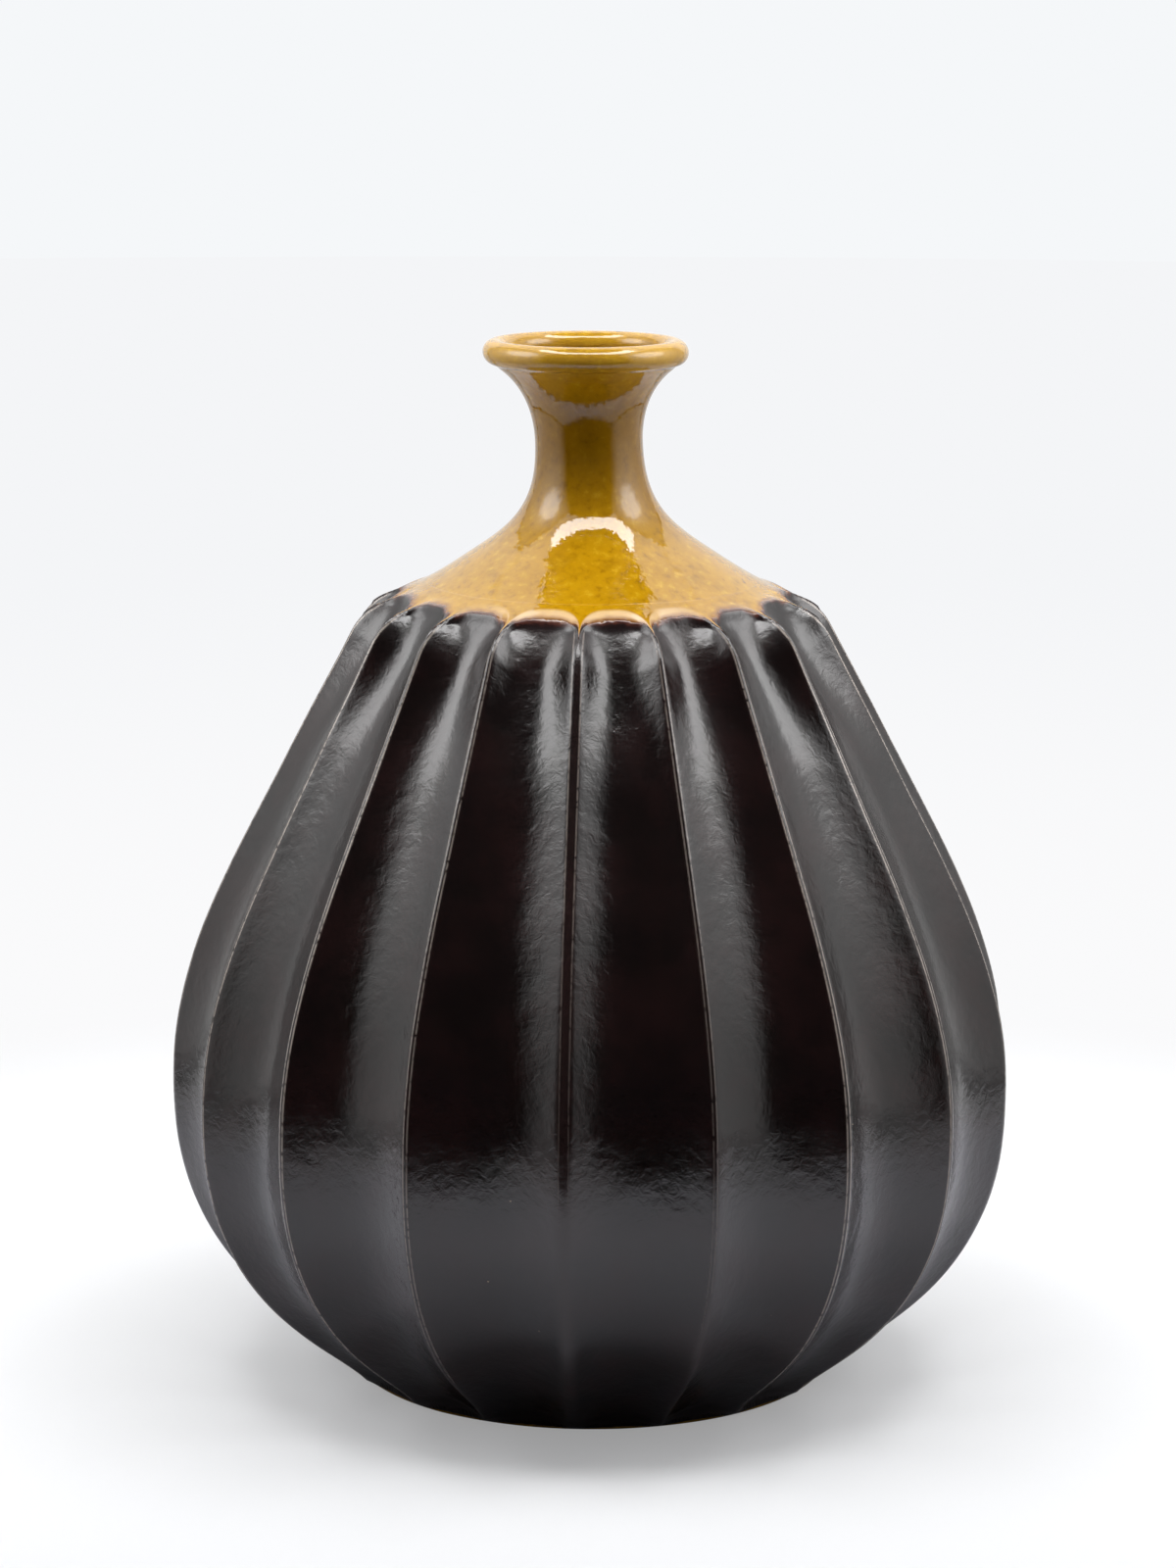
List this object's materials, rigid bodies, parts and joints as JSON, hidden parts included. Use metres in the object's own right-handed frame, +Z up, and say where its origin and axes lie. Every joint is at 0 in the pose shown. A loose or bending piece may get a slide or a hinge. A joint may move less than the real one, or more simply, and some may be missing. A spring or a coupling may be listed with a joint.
{
  "type": "fluted bottle vase",
  "caption": "Pear-shaped glazed stoneware vase with scooped flutes that start in round arches on the shoulder, a slim trumpet neck and a rolled lip.",
  "frame": {"origin": "centre of the foot on the surface that the vase stands on", "axes": "+Z up along the axis of the pot, -Y towards the front of the picture, +X to its right"},
  "size_m": [0.2251, 0.2259, 0.28],
  "materials": {
    "amber_glaze": "glossy mottled amber glaze over stoneware",
    "dark_glaze": "satin-gloss aubergine black glaze over stoneware",
    "bare_clay": "bare matt stoneware"
  },
  "bodies": {
    "root": {"lip": "amber_glaze", "neck": "amber_glaze", "shoulder": "amber_glaze", "fluted_body": "dark_glaze", "floor": "bare_clay", "foot_ring": "bare_clay"}
  },
  "joints": []
}
